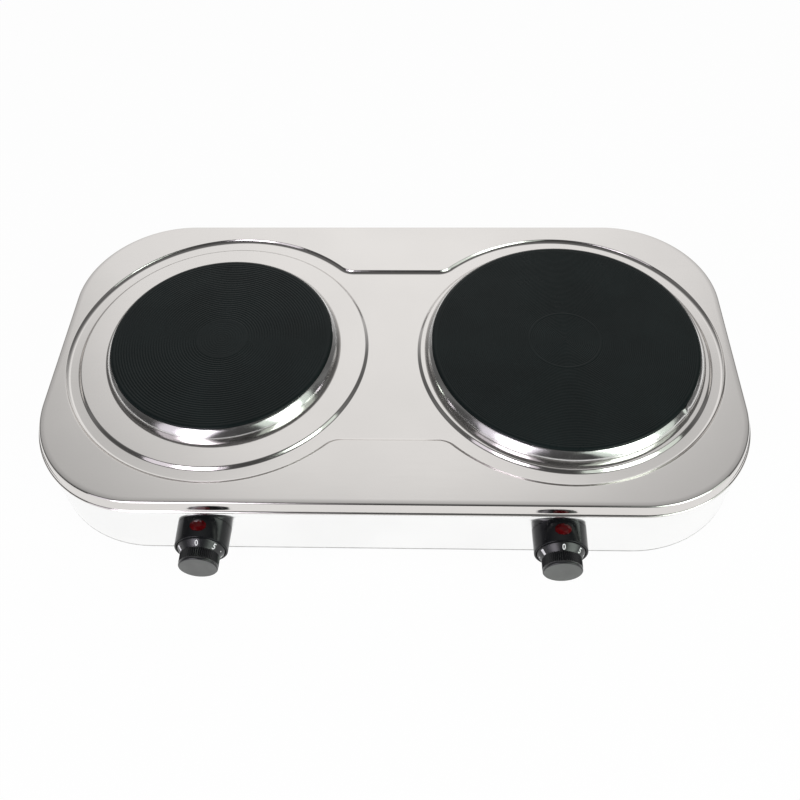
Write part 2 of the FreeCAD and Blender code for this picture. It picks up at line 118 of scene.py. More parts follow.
class HotPlateCover(bpy.types.PropertyGroup):
    """Sizes of the pressed cover and the wall under it."""

    width: length("Width", "Width of the cover", cover_high.x - cover_low.x)
    depth: length("Depth", "Depth of the cover", cover_high.y - cover_low.y)
    rim: length("Rim height", "Height of the flat rim over the floor", plate_box["left"][1].z - plate_rise)
    corner: length("Corner", "Radius of the four corners in plan", 80.5 * mm)
    sheet: length("Sheet", "Thickness of the steel sheet", 0.8 * mm)
    crown: length("Crown", "Width of the slight fall of the rim to its edge", 3 * mm)
    lip: length("Lip", "Height of the lip under the rim", 8.9 * mm)
    lip_bend: length("Lip bend", "Radius between the rim and the lip", 1.3 * mm)
    lean_top: angle("Upper lean", "Lean of the lip at its upper edge", math.radians(26))
    lean_least: angle("Least lean", "Lean of the lip where it stands most upright", math.radians(11))
    lean_foot: angle("Lower lean", "Lean of the lip at the hem", math.radians(36))
    hem: length("Hem", "Radius of the rolled hem at the lower edge of the lip", 0.9 * mm)
    hem_proud: length("Hem reach", "Distance of the hem in front of the lip", 0.8 * mm)
    lobe: length("Recess lobe", "Radius of the round ends of the recess", 111.7 * mm)
    lobe_spacing: length("Lobe spacing", "Distance between the middles of the lobes", 237 * mm)
    waist: length("Recess waist", "Half depth of the straight middle of the recess", 77.5 * mm)
    fillet: length("Recess fillet", "Radius between the waist and a lobe", 15 * mm)
    recess_depth: length("Recess depth", "Depth of the recess under the rim", 2 * mm)
    recess_wall: length("Recess wall", "Width of the slope round the recess", 3.2 * mm)
    spacing: length("Burner spacing", "Distance between the two burners", 240.6 * mm)
    platform: length("Platform", "Radius of a platform at the middle of its slope", 101.7 * mm)
    platform_rise: length("Platform rise", "Height of a platform over the recess", 1.7 * mm)
    platform_wall: length("Platform wall", "Width of the slope round a platform", 2.8 * mm)
    wall_inset: length("Wall inset", "Distance of the wall behind the edge of the cover", 1.2 * mm)
    ledge: length("Ledge", "Width of the inward ledge at the foot of the wall", 10 * mm)


class HotPlateBurners(bpy.types.PropertyGroup):
    """Sizes of the iron plates and their steel rings."""

    face_left: length("Left face", "Radius of the left iron face", half_width(plate_box["left"]))
    face_right: length("Right face", "Radius of the right iron face", half_width(plate_box["right"]))
    centre_left: length("Left centre", "Radius of the plain circle in the left face", 17.5 * mm)
    centre_right: length("Right centre", "Radius of the plain circle in the right face", 24.5 * mm)
    pitch_left: length("Left pitch", "Distance between the grooves of the left face", 1.86 * mm)
    pitch_right: length("Right pitch", "Distance between the grooves of the right face", 1.24 * mm)
    groove_left: length("Left grooves", "Depth of the turned grooves of the left face", 0.24 * mm)
    groove_right: length("Right grooves", "Depth of the turned grooves of the right face", 0.26 * mm)
    groove_inner: amount("Inner grooves", "Share of the depth that is left inside the left circle", 0.4)
    land: length("Land", "Width of the plain edge of a face", 2.6 * mm)
    edge_down: length("Edge rounding", "Height of the rounding at the edge of a face", 1.6 * mm)
    ring_sheet: length("Ring sheet", "Thickness of the steel ring", 0.6 * mm)
    ring_gap: length("Ring gap", "Gap between the iron and the ring", 0.25 * mm)
    ring_lean: angle("Ring lean", "Fall of the ring at its upper edge", math.radians(35))
    seam: length("Seam", "Height of the seam on the right ring", 0.8 * mm)
    seam_turn: angle("Seam turn", "Turn of the seam from the right of the right ring", math.radians(-38))


class HotPlateControls(bpy.types.PropertyGroup):
    """Sizes of the two controls on the front wall."""

    cone_length: length("Dial length", "Length of the dial cone", 4.4 * mm)
    skirt: length("Dial radius", "Radius of the dial at the housing", 15.3 * mm)
    grip: length("Grip radius", "Radius over the ribs of the grip", 12.7 * mm)
    grip_length: length("Grip length", "Length of the ribs", 6.4 * mm)
    rib_depth: length("Rib depth", "Depth between two ribs", 0.65 * mm)
    ribs: bpy.props.IntProperty(name="Ribs", description="Number of ribs round the grip", default=60, min=3)
    bore: length("Housing bore", "Inner radius of the housing", 15.7 * mm)
    digit_height: length("Digit height", "Height of the printed digits", 3.8 * mm)
    digit_width: length("Digit width", "Width of the printed digits", 2.05 * mm)
    digit_step: angle("Digit step", "Turn between two digits of the dial", math.radians(62))


class HotPlateColours(bpy.types.PropertyGroup):
    """Colours of the finishes."""

    steel: colour("Steel", "Polished stainless sheet", (0.705, 0.682, 0.662))
    wall: colour("Wall", "Polished stainless of the wall", (0.96, 0.96, 0.955))
    chrome: colour("Ring steel", "Bright stainless of the rings", (0.68, 0.67, 0.66))
    iron: colour("Iron", "Coated cast iron", (0.0075, 0.0115, 0.0115))
    plastic: colour("Plastic", "Black plastic of the controls", (0.006, 0.0065, 0.0075))
    lens: colour("Lens", "Red lamp lens", (0.075, 0.001, 0.002))
    knob_face: colour("Knob face", "Satin front of the knobs", (0.088, 0.091, 0.086))
    ink: colour("Ink", "Printing on the dials", (0.8, 0.8, 0.8))
    rubber: colour("Rubber", "Feet", (0.022, 0.022, 0.023))
    floor: colour("Floor", "Floor of the studio", (0.9, 0.9, 0.9))


class HotPlateStage(bpy.types.PropertyGroup):
    """Camera and studio light."""

    turn: angle("Turn", "Turn of the camera to the right of the front", 0.0509)
    height: angle("Height", "Angle of the camera over the level", 0.9183)
    roll: angle("Roll", "Tilt of the camera about its own view", -0.0345)
    distance: length("Distance", "Distance of the camera from its target", 610.9 * mm)
    target_x: offset("Target X", "Camera target to the right", 6.1 * mm)
    target_y: offset("Target Y", "Camera target to the back", -36.2 * mm)
    lens: amount("Lens", "Focal length of the camera in millimetres", 40.5)
    left_lamp: amount("Left lamp", "Watts of the narrow left soft box; the wide one has half", 6.4)
    right_lamp: amount("Right lamp", "Watts of the narrow right soft box; the wide one has half", 7.2)


# Surfaces

def grid_quads(rows, columns):
    """Corners of every cell of a grid that closes on itself along its columns."""
    row, column = np.meshgrid(np.arange(rows - 1), np.arange(columns), indexing="ij")
    after = (column + 1) % columns
    first = row * columns
    second = first + columns
    return np.stack([first + column, first + after, second + after, second + column], axis=-1).reshape(-1, 4)


def arc(start, between, end, count):
    """Points of the circle through three points: the centre is where the two bisectors meet."""
    corners = np.array([start, between, end], dtype=float)
    lines = 2 * (corners[1:] - corners[0])
    squares = (corners[1:] ** 2 - corners[0] ** 2).sum(axis=1)
    centre = np.linalg.solve(lines, squares)
    spokes = corners - centre
    turns = np.unwrap(np.arctan2(spokes[:, 1], spokes[:, 0]))
    turn = np.linspace(turns[0], turns[2], count)
    radius = np.hypot(*spokes[0])
    return centre + radius * np.stack([np.cos(turn), np.sin(turn)], axis=1)


def oval(centre, reach, first, last, count):
    """Part of an oval about a centre, which reach gives the width and height of: sine across, cosine up.

    Angles are in degrees from the top.
    """
    turn = np.radians(np.linspace(first, last, count))
    across = centre[0] + (reach[0] - centre[0]) * np.sin(turn)
    upward = centre[1] + (reach[1] - centre[1]) * np.cos(turn)
    return np.stack([across, upward], axis=1)


def run(start, end, count):
    """Evenly spaced points of a straight line."""
    return np.linspace(start, end, count)


def soft_step(count, bend, fade):
    """Share of the way and of the height of a pressed slope.

    Its steepness grows evenly over the first share of the way, bend, and falls evenly over the last, fade.
    The height is the sum of the steepness.
    """
    way = (1 - np.cos(np.linspace(0, math.pi, count))) / 2
    steepness = np.minimum(np.minimum(way / bend, (1 - way) / fade), 1)
    rise = np.diff(way) * (steepness[1:] + steepness[:-1])
    height = np.concatenate([[0], np.cumsum(rise)])
    return way, height / height[-1]


def full_loop(quarter):
    """Closed loop of a quarter that runs from the back middle to the right end, mirrored twice."""
    back = quarter[::-1]
    turns = [quarter, back * (1, -1), quarter * (-1, -1), back * (-1, 1)]
    return np.concatenate([turn[:-1] for turn in turns])


def body_quarter(share, width, depth, corner):
    """Quarter of the body's plan and its outward directions, by share of its length: run, bend, run."""
    first = width / 2 - corner
    last = depth / 2 - corner
    bend = corner * math.pi / 2
    along = share * (first + bend + last)
    turn = np.clip((along - first) / corner, 0, math.pi / 2)
    x = np.clip(along, 0, first) + corner * np.sin(turn)
    y = last + corner * np.cos(turn) - np.clip(along - first - bend, 0, last)
    return np.stack([x, y], axis=1), np.stack([np.sin(turn), np.cos(turn)], axis=1)


def recess_quarter(cover, counts):
    """Quarter of the recess: straight waist, hollow fillet and round lobe, each evenly divided.

    Gives the points, their outward directions and their share of the whole length.
    """
    centre = cover.lobe_spacing / 2
    sum_of_radii = cover.lobe + cover.fillet
    reach = math.sqrt(sum_of_radii ** 2 - (cover.waist + cover.fillet) ** 2)
    swing = math.asin(reach / sum_of_radii)
    waist_end = centre - reach
    knee = waist_end + cover.fillet * swing
    total = knee + cover.lobe * (swing + math.pi / 2)
    stops = np.cumsum((0,) + counts)
    along = np.interp(np.arange(stops[-1] + 1), stops, (0, waist_end, knee, total))
    inner = np.clip((along - waist_end) / cover.fillet, 0, swing)
    outer = np.clip((along - knee) / cover.lobe, 0, swing + math.pi / 2) - swing
    before = along < knee
    straight = np.minimum(along, waist_end)
    x = np.where(before, straight + cover.fillet * np.sin(inner), centre + cover.lobe * np.sin(outer))
    y = np.where(before, cover.waist + cover.fillet * (1 - np.cos(inner)), cover.lobe * np.cos(outer))
    out_x = np.where(before, -np.sin(inner), np.sin(outer))
    out_y = np.where(before, np.cos(inner), np.cos(outer))
    return np.stack([x, y], axis=1), np.stack([out_x, out_y], axis=1), along / total


def full_turn(count):
    """Evenly spaced angles of a full turn."""
    return np.arange(count) * 2 * math.pi / count


def raised(level, height):
    """Rows of level points, each row at its own height."""
    height = np.broadcast_to(height[:, None, None], level.shape[:2] + (1,))
    return np.concatenate([level, height], axis=2)


def carried(path, outward, profile, shift_y):
    """Profile carried along a level path: its first number draws the path in, its second is the height."""
    level = path[None] - profile[:, 0, None, None] * outward[None]
    return raised(level + np.array((0, shift_y)), profile[:, 1])


def turned(profile, centre, count):
    """Profile of radius and height turned about an upright line: x = r cos t, y = r sin t."""
    turn = full_turn(count)
    radius = profile[:, 0, None]
    x = centre.x + radius * np.cos(turn)
    y = centre.y + radius * np.sin(turn)
    z = np.broadcast_to(profile[:, 1, None], x.shape)
    return np.stack([x, y, z], axis=2)


def faced(radius, reach, turn, centre):
    """Surface about a line to the front: x = r sin t and z = r cos t, with t clockwise from the top."""
    x = centre.x + radius * np.sin(turn)
    z = centre.z + radius * np.cos(turn)
    y = np.broadcast_to(centre.y - reach, x.shape)
    return np.stack([x, y, z], axis=2)


def add_piece(name, grids, body, slot, nodes, crease=35):
    """Join grids that close along their columns into one piece that stands for the named nodes.

    Shared edges are merged, faces are turned outwards and edges over the crease angle stay sharp.
    """
    points = []
    corners = []
    start = 0
    for grid in grids:
        rows, columns = grid.shape[:2]
        points.append(grid.reshape(-1, 3))
        corners.append(grid_quads(rows, columns) + start)
        start += rows * columns
    mesh = bpy.data.meshes.new(name)
    mesh.from_pydata(np.concatenate(points).tolist(), [], np.concatenate(corners).tolist())
    work = bmesh.new()
    work.from_mesh(mesh)
    bmesh.ops.remove_doubles(work, verts=work.verts, dist=0.001 * mm)
    bmesh.ops.recalc_face_normals(work, faces=work.faces)
    work.to_mesh(mesh)
    work.free()
    return place_mesh(name, mesh, finish_for(slot), body, nodes, crease)


def place_mesh(name, mesh, finish, body, nodes, crease=35):
    """Put a finished mesh into the scene on its body, with its finish."""
    mesh.shade_smooth()
    mesh.set_sharp_from_angle(angle=math.radians(crease))
    mesh.materials.append(finish)
    piece = bpy.data.objects.new(name, mesh)
    bpy.context.scene.collection.objects.link(piece)
    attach(piece, body)
    if nodes:
        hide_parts(*nodes)
    return piece


def thicken(piece, thickness):
    """Give an open skin the thickness of its sheet, inward from its outer side."""
    sheet = piece.modifiers.new("sheet", "SOLIDIFY")
    sheet.thickness = thickness
    sheet.offset = -1


# Finishes

# Part of a pattern's values over which a tint or a polish runs from one end to the other
pattern_range = (0.3, 0.7)


def clear_tree(owner):
    """Empty node tree of a material or a world."""
    owner.use_nodes = True
    owner.node_tree.nodes.clear()
    return owner.node_tree


def add_node(tree, kind, inputs=None, operation=None):
    """New shader node; each input that is named or numbered gets a value, or a link from an output."""
    node = tree.nodes.new("ShaderNode" + kind)
    if operation:
        node.operation = operation
    for key, given in (inputs or {}).items():
        if isinstance(given, bpy.types.NodeSocket):
            tree.links.new(given, node.inputs[key])
        else:
            node.inputs[key].default_value = given
    return node


def new_finish(name, **sockets):
    """Material with one Principled shader and Object coordinates at hand.

    The name of a socket has underscores for its spaces.
    """
    material = bpy.data.materials.new(name)
    tree = clear_tree(material)
    values = {socket.replace("_", " "): value for socket, value in sockets.items()}
    shader = add_node(tree, "BsdfPrincipled", values)
    add_node(tree, "OutputMaterial", {"Surface": shader.outputs["BSDF"]})
    place = add_node(tree, "TexCoord").outputs["Object"]
    return SimpleNamespace(material=material, tree=tree, shader=shader, place=place)


def stretch(finish, scale):
    """Object coordinates scaled along the three axes."""
    return add_node(finish.tree, "Mapping", {"Scale": scale, "Vector": finish.place}).outputs["Vector"]


def noise(finish, scale, detail=2.0, place=None):
    """Cloudy pattern; the scale is in patches per metre."""
    inputs = {"Scale": scale, "Detail": detail, "Vector": place or finish.place}
    return add_node(finish.tree, "TexNoise", inputs).outputs["Fac"]


def cells(finish, scale):
    """Pattern of cells; the scale is in cells per metre."""
    return add_node(finish.tree, "TexVoronoi", {"Scale": scale, "Vector": finish.place}).outputs["Distance"]


def tint(finish, pattern, dark, light):
    """Base colour that runs between two colours with a pattern."""
    node = add_node(finish.tree, "ValToRGB", {"Fac": pattern})
    for element, position, shade in zip(node.color_ramp.elements, pattern_range, (dark, light)):
        element.position = position
        element.color = (*shade, 1)
    finish.tree.links.new(node.outputs["Color"], finish.shader.inputs["Base Color"])


def shades(base, spread):
    """A darker and a lighter shade of a colour."""
    return tuple(part * (1 - spread) for part in base), tuple(min(1, part * (1 + spread)) for part in base)


def polish(finish, pattern, low, high):
    """Roughness that runs between two values with a pattern."""
    first, last = pattern_range
    inputs = {"Value": pattern, "From Min": first, "From Max": last, "To Min": low, "To Max": high}
    node = add_node(finish.tree, "MapRange", inputs)
    finish.tree.links.new(node.outputs["Result"], finish.shader.inputs["Roughness"])


def relief(finish, pattern, distance, before=None):
    """Bump of a given height from a pattern, on top of an earlier bump."""
    node = add_node(finish.tree, "Bump", {"Height": pattern, "Distance": distance})
    if before:
        finish.tree.links.new(before, node.inputs["Normal"])
    finish.tree.links.new(node.outputs["Normal"], finish.shader.inputs["Normal"])
    return node.outputs["Normal"]


def sheet_steel(name, base, low, high, wave):
    """Polished sheet: soft clouds of sheen, faint rolling lines along its length and a slow waviness."""
    finish = new_finish(name, Metallic=1.0)
    clouds = noise(finish, 14, 4.0)
    lines = noise(finish, 60, 3.0, stretch(finish, (0.6, 22, 22)))
    tint(finish, clouds, *shades(base, 0.025))
    polish(finish, lines, low, high)
    waves = relief(finish, noise(finish, 9, 1.0), wave)
    relief(finish, lines, 0.004 * mm, waves)
    return finish.material


def ring_steel(name, base):
    """Bright pressed steel with the slight dents of its drawing."""
    finish = new_finish(name, Metallic=1.0)
    tint(finish, noise(finish, 40, 3.0), *shades(base, 0.04))
    polish(finish, noise(finish, 90, 4.0), 0.11, 0.2)
    dents = relief(finish, noise(finish, 45, 1.0), 0.22 * mm)
    relief(finish, noise(finish, 700, 2.0), 0.004 * mm, dents)
    return finish.material


def coated_iron(name, base):
    """Heat-proof black coat on cast iron: fine grain and faint cloudy wear."""
    finish = new_finish(name, Specular_IOR_Level=0.14)
    tint(finish, noise(finish, 35, 5.0), *shades(base, 0.16))
    polish(finish, noise(finish, 55, 4.0), 0.26, 0.36)
    grain = relief(finish, noise(finish, 2600, 2.0), 0.03 * mm)
    relief(finish, noise(finish, 420, 2.0), 0.03 * mm, grain)
    return finish.material


def moulded_plastic(name, base, low, high, grain, gloss=0.5):
    """Moulded plastic with a fine even grain."""
    finish = new_finish(name, Specular_IOR_Level=gloss)
    tint(finish, noise(finish, 60, 3.0), *shades(base, 0.12))
    polish(finish, noise(finish, 130, 3.0), low, high)
    relief(finish, noise(finish, 3200, 2.0), grain)
    return finish.material


def clear_lens(name, base):
    """Clear red plastic with the slight swirl of the moulding."""
    finish = new_finish(name, Transmission_Weight=0.15, IOR=1.49, Specular_IOR_Level=0.06)
    tint(finish, noise(finish, 500, 2.0), *shades(base, 0.3))
    polish(finish, noise(finish, 300, 2.0), 0.05, 0.12)
    relief(finish, cells(finish, 900), 0.12 * mm)
    return finish.material


def printed_ink(name, base):
    """White ink with small thin spots."""
    finish = new_finish(name)
    tint(finish, noise(finish, 2500, 2.0), *shades(base, 0.06))
    polish(finish, noise(finish, 1200, 2.0), 0.45, 0.6)
    return finish.material


def soft_rubber(name, base):
    """Dull rubber with a fine tooth."""
    finish = new_finish(name, Specular_IOR_Level=0.3)
    tint(finish, noise(finish, 120, 4.0), *shades(base, 0.2))
    polish(finish, noise(finish, 400, 3.0), 0.68, 0.85)
    relief(finish, noise(finish, 1800, 3.0), 0.06 * mm)
    return finish.material


def zinc_sheet(name, base):
    """Zinc-coated sheet with the flakes of its coat."""
    finish = new_finish(name, Metallic=1.0)
    flakes = cells(finish, 130)
    tint(finish, flakes, *shades(base, 0.12))
    polish(finish, flakes, 0.32, 0.46)
    relief(finish, noise(finish, 260, 3.0), 0.02 * mm)
    return finish.material


def bare_metal(name, base, low, high):
    """Turned or pressed small steel with fine scratches."""
    finish = new_finish(name, Metallic=1.0)
    tint(finish, noise(finish, 180, 3.0), *shades(base, 0.08))
    polish(finish, noise(finish, 500, 4.0), low, high)
    relief(finish, noise(finish, 1500, 2.0), 0.01 * mm)
    return finish.material


def fired_ceramic(name, base):
    """Unglazed ceramic with a sandy grain."""
    finish = new_finish(name, Specular_IOR_Level=0.3)
    tint(finish, noise(finish, 300, 5.0), *shades(base, 0.07))
    polish(finish, noise(finish, 500, 3.0), 0.7, 0.9)
    relief(finish, noise(finish, 1400, 4.0), 0.08 * mm)
    return finish.material


def lamp_glass(name):
    """Clear glass of the glow lamps, faintly amber."""
    finish = new_finish(name, Transmission_Weight=0.9, IOR=1.5)
    tint(finish, noise(finish, 200, 2.0), (0.85, 0.62, 0.45), (0.95, 0.8, 0.66))
    polish(finish, noise(finish, 400, 2.0), 0.03, 0.08)
    return finish.material


def make_finishes(colours):
    """Every finish of the object by material slot, with those of the knobs' fronts and the printing."""
    plastic = colours.plastic
    return {
        "cover_steel": sheet_steel("polished_cover_steel", colours.steel, 0.07, 0.13, 0.4 * mm),
        "wall_steel": sheet_steel("polished_wall_steel", colours.wall, 0.12, 0.2, 0.5 * mm),
        "base_steel": zinc_sheet("zinc_base_sheet", (0.5, 0.5, 0.49)),
        "iron_plate": coated_iron("coated_iron", colours.iron),
        "ring_steel": ring_steel("bright_ring_steel", colours.chrome),
        "foot_rubber": soft_rubber("foot_rubber_black", colours.rubber),
        "housing_plastic": moulded_plastic("housing_plastic_black", plastic, 0.16, 0.26, 0.012 * mm, 0.2),
        "knob_plastic": moulded_plastic("knob_plastic_black", plastic, 0.24, 0.36, 0.02 * mm),
        "lens_red": clear_lens("lens_red_clear", colours.lens),
        "lamp_glass": lamp_glass("lamp_glass_clear"),
        "coil_metal": bare_metal("coil_oxidised", (0.16, 0.12, 0.1), 0.5, 0.7),
        "ceramic": fired_ceramic("fired_ceramic_cream", (0.62, 0.58, 0.5)),
        "shaft_steel": bare_metal("shaft_turned_steel", (0.55, 0.54, 0.52), 0.22, 0.34),
        "device_body": fired_ceramic("device_ceramic_grey", (0.36, 0.34, 0.31)),
        "gland_plastic": moulded_plastic("gland_plastic_black", plastic, 0.4, 0.55, 0.03 * mm),
        "block_plastic": moulded_plastic("block_plastic_white", (0.66, 0.65, 0.6), 0.4, 0.55, 0.02 * mm),
        "lead_sleeve": moulded_plastic("lead_sleeve_grey", (0.5, 0.5, 0.48), 0.5, 0.65, 0.04 * mm),
        "hardware_steel": bare_metal("hardware_zinc", (0.56, 0.56, 0.55), 0.25, 0.4),
        "knob_face": moulded_plastic("knob_face_satin", colours.knob_face, 0.45, 0.55, 0.02 * mm),
        "print": printed_ink("dial_ink_white", colours.ink),
    }


finish_names = {}


def finish_for(slot):
    """The finish of one slot, made once for the whole object."""
    held = bpy.data.materials.get(finish_names.get(slot, ""))
    if held is None:
        made = make_finishes(bpy.context.scene.hot_plate_colours)
        finish_names.update({name: material.name for name, material in made.items()})
        held = made[slot]
    return held


# Pieces

def cover_loops(cover, counts=(5, 14, 110)):
    """Loops of the body and of the recess with equal counts, joined by equal shares of their length.

    The counts are the steps along the waist, the fillet and the lobe of a quarter.
    """
    recess, recess_out, share = recess_quarter(cover, counts)
    body, body_out = body_quarter(share, cover.width, cover.depth, cover.corner)
    return tuple(full_loop(part) for part in (body, body_out, recess, recess_out))


def lip_profile(cover):
    """Section of the lip from its hem up to the rim: distance behind the edge, and height.

    A rolled hem, then a face whose lean changes evenly between set shares of its height: each stretch lies
    behind the one below it by its height times the tangent of its lean. Then a tight round shoulder, and a
    crown that falls from the rim as the square of the distance.
    """
    crown_lean = math.radians(5)
    hem_height = 1.9 * cover.hem
    lean_shares = (0, 0.22, 0.6, 1)
    leans = (cover.lean_foot, cover.lean_least, cover.lean_least, cover.lean_top)
    low = cover.rim - cover.lip
    hem_top = (cover.hem_proud, low + hem_height)
    hem = arc((cover.hem, low), (0, low + cover.hem), hem_top, 10)
    turn = np.linspace(math.pi / 2 - cover.lean_top, crown_lean, 12)
    fall = cover.crown * math.tan(crown_lean) / 2
    shoulder = cover.lip_bend * np.stack([-np.sin(turn), np.cos(turn)], axis=1)
    shoulder = shoulder + (0, cover.rim - fall - shoulder[-1, 1])
    share = np.linspace(0, 1, 25)
    lean = np.interp(share, lean_shares, leans)
    height = hem_top[1] + (shoulder[0, 1] - hem_top[1]) * share
    behind = np.cumsum(np.diff(height) * np.tan((lean[1:] + lean[:-1]) / 2))
    face = np.stack([hem_top[0] + behind, height[1:]], axis=1)
    shoulder = shoulder + (face[-1, 0] - shoulder[0, 0], 0)
    share = np.linspace(0, 1, 7)[1:]
    crown = np.stack([shoulder[-1, 0] + cover.crown * share, cover.rim - fall * (1 - share) ** 2], axis=1)
    return np.concatenate([hem, face[:-1], shoulder, crown])


def recess_slope(cover):
    """Section from the rim down into the recess: distance inward from the outline, and height."""
    margin = 0.5 * mm
    way, drop = soft_step(18, bend=0.1, fade=0.9)
    slope = np.stack([cover.recess_wall * (way - 0.5), cover.rim - cover.recess_depth * drop], axis=1)
    return np.concatenate([slope[:1] - (margin, 0), slope])


def platform_half(cover, recess, outward, face, shift_y):
    """Recess floor and platform of the right burner, with an opening for a plate of this face.

    Spokes run from the outline of the half recess, closed along the middle line, to the round platform at
    the same angle about the burner, and then along the platform's profile to its opening.
    """
    margin = 0.8 * mm
    opening = face + 1 * mm
    edge = cover.recess_wall / 2
    floor = cover.rim - cover.recess_depth
    half = len(recess) // 2
    outline = (recess - edge * outward)[: half + 1]
    line = np.linspace(outline[-1, 1], outline[0, 1], 42)[1:-1]
    outline = np.concatenate([outline, np.stack([np.zeros_like(line), line], axis=1)])
    centre = np.array((cover.spacing / 2, 0))
    spoke = outline - centre
    spoke = spoke / np.linalg.norm(spoke, axis=1)[:, None]
    way, rise = soft_step(19, bend=0.25, fade=0.25)
    radius = cover.platform + cover.platform_wall * (0.5 - way)
    radius = np.concatenate([radius, [radius[-1] - margin, opening + margin, opening]])
    height = floor + cover.platform_rise * rise
    height = np.concatenate([[floor], height, np.full(3, height[-1])])
    level = np.concatenate([outline[None], centre + radius[:, None, None] * spoke[None]])
    return raised(level + np.array((0, shift_y)), height)


class HOTPLATE_OT_cover(bpy.types.Operator):
    """Press the steel cover with its lip, recess and platforms"""

    bl_idname = "hotplate.cover"
    bl_label = "Pressed Cover"

    def execute(self, context):
        cover = context.scene.hot_plate_cover
        burners = context.scene.hot_plate_burners
        shift_y = middle((cover_low, cover_high)).y
        body, body_out, recess, recess_out = cover_loops(cover)
        skin = np.concatenate([
            carried(body, body_out, lip_profile(cover), shift_y),
            carried(recess, recess_out, recess_slope(cover), shift_y),
        ])
        right = platform_half(cover, recess, recess_out, burners.face_right, shift_y)
        left = platform_half(cover, recess, recess_out, burners.face_left, shift_y) * (-1, 1, 1)
        piece = add_piece("pressed_cover", [skin, right, left], "base", "cover_steel", ["top_cover"])
        thicken(piece, cover.sheet)
        return {"FINISHED"}


def wall_profile(cover):
    """Section of the wall: inward ledge, quarter bend at the foot and upright side that ends in the lip."""
    inset = cover.wall_inset
    bend = 0.4 * mm
    margin = 0.5 * mm
    tuck = 1.7 * mm
    turn = np.linspace(0, math.pi / 2, 9)
    return np.concatenate([
        run((inset + cover.ledge, wall_foot), (inset + bend + margin, wall_foot), 3),
        np.stack([inset + bend * (1 - np.sin(turn)), wall_foot + bend * (1 - np.cos(turn))], axis=1),
        run((inset, wall_foot + bend + margin), (inset, cover.rim - cover.lip + tuck), 6),
    ])


class HOTPLATE_OT_wall(bpy.types.Operator):
    """Fold the upright wall with the ledge at its foot"""

    bl_idname = "hotplate.wall"
    bl_label = "Wall"

    def execute(self, context):
        cover = context.scene.hot_plate_cover
        shift_y = middle((cover_low, cover_high)).y
        body, body_out = cover_loops(cover)[:2]
        grid = carried(body, body_out, wall_profile(cover), shift_y)
        piece = add_piece("folded_wall", [grid], "base", "wall_steel", ["lower_housing"])
        thicken(piece, cover.sheet)
        return {"FINISHED"}


def plate_profile(burners, side):
    """Section of an iron plate from the middle of its face over its edge to the middle of its back.

    The grooves follow a cosine of the radius. The one at the plain circle is left out, and those inside the
    circle of the left face are shallower.
    """
    low, high = plate_box[side]
    face = getattr(burners, "face_" + side)
    circle = getattr(burners, "centre_" + side)
    pitch = getattr(burners, "pitch_" + side)
    groove = getattr(burners, "groove_" + side)
    steps, inner = (6, burners.groove_inner) if side == "left" else (4, 1)
    margin = 0.1 * mm
    top = high.z
    under = top - plate_side
    land = face - burners.land
    back = face - 3 * mm
    radius = np.arange(int(land / pitch) * steps + 1) * pitch / steps
    wave = 0.5 + 0.5 * np.cos(2 * math.pi * radius / pitch)
    wave = np.where(np.abs(radius - circle) < 0.5 * pitch, 0, wave)
    wave = np.where(radius < circle, inner * wave, wave)
    return np.concatenate([
        np.stack([radius, top - groove * wave], axis=1),
        [(land + margin, top)],
        oval((land + 2 * margin, top - burners.edge_down), (face, top), 0, 90, 14),
        [(face, under), (back, under), (back, low.z), (0, low.z)],
    ])


class HOTPLATE_OT_plates(bpy.types.Operator):
    """Turn the two grooved iron plates"""

    bl_idname = "hotplate.plates"
    bl_label = "Iron Plates"

    def execute(self, context):
        burners = context.scene.hot_plate_burners
        for side in sides:
            grid = turned(plate_profile(burners, side), middle(plate_box[side]), 300)
            add_piece("iron_plate_" + side, [grid], "base", "iron_plate", ["hot_plate_" + side], crease=50)
        return {"FINISHED"}


def ring_profile(burners, side):
    """Section of a spill ring: up along the iron, out over part of an oval to its foot, and back inside it.

    The axis and the peak of the oval are such that it passes the ring's upper edge with the ring's lean.
    """
    face = getattr(burners, "face_" + side)
    outer = half_width(ring_box[side])
    foot, top = ring_box[side][0].z, ring_box[side][1].z
    seat = plate_box[side][1].z - plate_side
    sheet = burners.ring_sheet
    inner = face + burners.ring_gap
    tip = face - 2.6 * mm
    edge = 0.2 * mm
    cut_back = 8
    lean = math.sin(burners.ring_lean)
    axis = (inner - outer * lean) / (1 - lean)
    peak = foot + (top - foot) / math.cos(burners.ring_lean)
    first = math.degrees(burners.ring_lean)
    return np.concatenate([
        [(tip, seat), (inner, seat), (inner, top - edge)],
        oval((axis, foot), (outer, peak), first, 90, 40),
        oval((axis, foot), (outer - sheet, peak - sheet), 90, first + cut_back, 20),
        [(inner + sheet, seat - sheet), (tip, seat - sheet), (tip, seat)],
    ])


def seamed(grid, box, burners):
    """Ring pushed outward at one bearing by a bell curve of the angle, evenly less toward its foot."""
    spread = 0.025
    foot, top = box[0].z, box[1].z
    spoke = grid[..., :2] - np.array(middle(box).xy)
    around = np.arctan2(spoke[..., 1], spoke[..., 0]) - burners.seam_turn
    share = np.clip((grid[..., 2] - foot) / (top - foot), 0, 1)
    push = burners.seam * share * np.exp(-(around / spread) ** 2)
    spoke = spoke / np.linalg.norm(spoke, axis=2, keepdims=True)
    return np.concatenate([grid[..., :2] + push[..., None] * spoke, grid[..., 2:]], axis=2)


class HOTPLATE_OT_rings(bpy.types.Operator):
    """Draw the two bright spill rings"""

    bl_idname = "hotplate.rings"
    bl_label = "Spill Rings"

    def execute(self, context):
        burners = context.scene.hot_plate_burners
        for side in sides:
            grid = turned(ring_profile(burners, side), middle(ring_box[side]), 640)
            if side == "right":
                grid = seamed(grid, ring_box[side], burners)
            add_piece("bright_ring_" + side, [grid], "base", "ring_steel", ["spill_ring_" + side])
        return {"FINISHED"}


